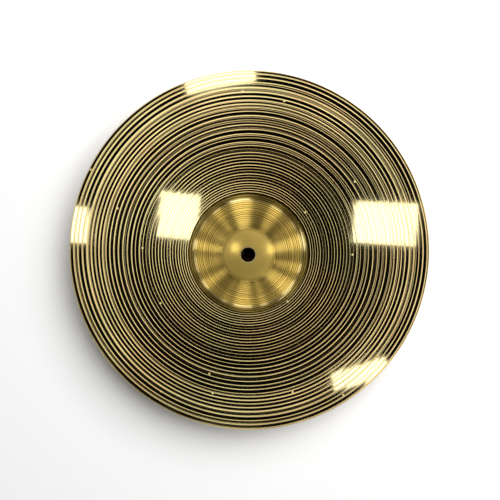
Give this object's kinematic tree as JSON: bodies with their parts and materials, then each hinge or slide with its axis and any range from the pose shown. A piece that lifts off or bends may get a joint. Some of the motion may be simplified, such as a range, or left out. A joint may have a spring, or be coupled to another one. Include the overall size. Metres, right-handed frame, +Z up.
{
  "type": "hi-hat cymbal pair",
  "caption": "Pair of turned brass hi-hat cymbals, closed rim on rim. Each is a shallow bow with a domed, bored bell, and the upper one lifts off the lower along the bore axis.",
  "frame": {"origin": "on the bore axis, in the plane of the floor that the lower bell stands on", "axes": "+Z up along the bore axis, from the lower bell to the upper bell; +X to the right in the picture and +Y towards its top"},
  "size_m": [0.33, 0.33, 0.0729],
  "materials": {
    "top_brass": "brilliant polish over a spiral turned groove",
    "bottom_brass": "brilliant polish over a spiral turned groove"
  },
  "bodies": {
    "bottom_cymbal": {"bottom_cymbal": "bottom_brass"},
    "top_cymbal": {"top_cymbal": "top_brass"}
  },
  "joints": [
    {"name": "top_lift", "type": "slide", "parent": "bottom_cymbal", "child": "top_cymbal", "axis": [0, 0, 1], "range_m": [0, 0.05]}
  ]
}
